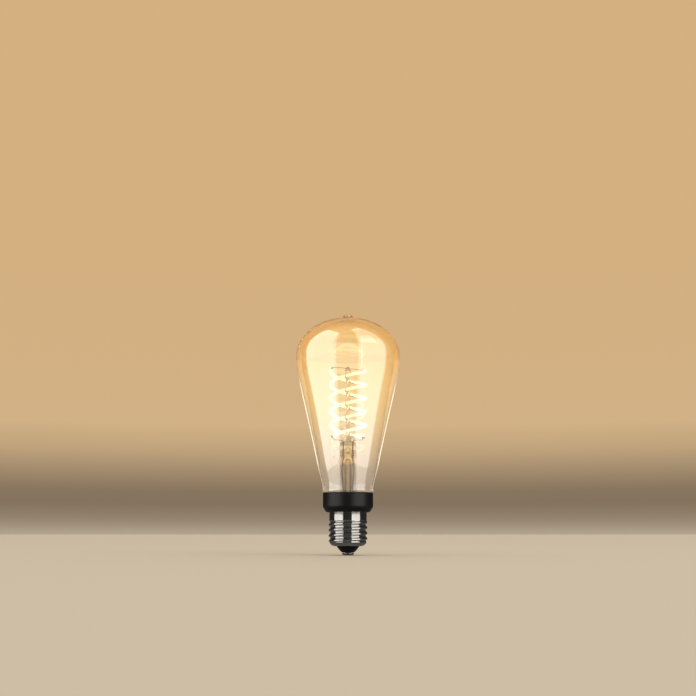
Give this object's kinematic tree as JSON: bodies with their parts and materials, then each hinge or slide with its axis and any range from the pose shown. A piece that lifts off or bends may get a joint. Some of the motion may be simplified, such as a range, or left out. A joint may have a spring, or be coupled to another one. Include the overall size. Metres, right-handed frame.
{
  "type": "smart filament light bulb",
  "caption": "Pear-shaped amber glass bulb with a glowing double-helix LED filament on a glass stem, a black collar and a nickel screw cap.",
  "frame": {"origin": "middle of the centre contact's lower face, on the bulb's axis", "axes": "+Z along the bulb's axis from the screw cap to the tip of the glass; -Y is the front, where the collar's label area faces; +X is to the right as seen from the front"},
  "size_m": [0.0724, 0.0724, 0.166],
  "materials": {
    "amber_glass": "polished",
    "clear_glass": "polished",
    "filament": "matt silicone over phosphor",
    "support_wire": "drawn wire",
    "copper_wire": "drawn wire",
    "black_plastic": "fine matt",
    "silicone": "matt",
    "nickel": "bright nickel plating",
    "black_insulator": "glossy",
    "contact_metal": "satin",
    "circuit_board": "solder mask",
    "aluminium_can": "satin",
    "ferrite": "matt",
    "resistor_ceramic": "matt",
    "film_casing": "glossy",
    "chip_plastic": "matt",
    "shield_metal": "tin plated"
  },
  "bodies": {
    "root": {"glass_envelope": "amber_glass", "stem_flare": "clear_glass", "exhaust_tube": "clear_glass", "arbor_rod": "clear_glass", "led_filament_a": "filament", "led_filament_b": "filament", "clip_a_top": "support_wire", "clip_a_bottom": "support_wire", "clip_b_top": "support_wire", "clip_b_bottom": "support_wire", "cross_wire": "support_wire", "support_hook_1": "support_wire", "support_hook_2": "support_wire", "support_hook_3": "support_wire", "support_hook_4": "support_wire", "support_hook_5": "support_wire", "support_hook_6": "support_wire", "support_hook_7": "support_wire", "support_hook_8": "support_wire", "base_anchor": "support_wire", "upper_lead_left": "support_wire", "upper_lead_right": "support_wire", "lower_lead_left": "copper_wire", "lower_lead_right": "copper_wire", "collar": "black_plastic", "neck_cement": "silicone", "cap_shell": "nickel", "cap_insulator": "black_insulator", "centre_contact": "contact_metal", "driver_board": "circuit_board", "bulk_capacitor": "aluminium_can", "output_capacitor": "aluminium_can", "inductor": "ferrite", "fusible_resistor": "resistor_ceramic", "input_capacitor": "film_casing", "rectifier_bridge": "chip_plastic", "driver_chip": "chip_plastic", "radio_module": "circuit_board", "radio_shield": "shield_metal", "antenna": "copper_wire", "lead_terminal_left": "shield_metal", "lead_terminal_right": "shield_metal", "centre_wire": "copper_wire", "side_wire": "copper_wire"}
  },
  "joints": []
}
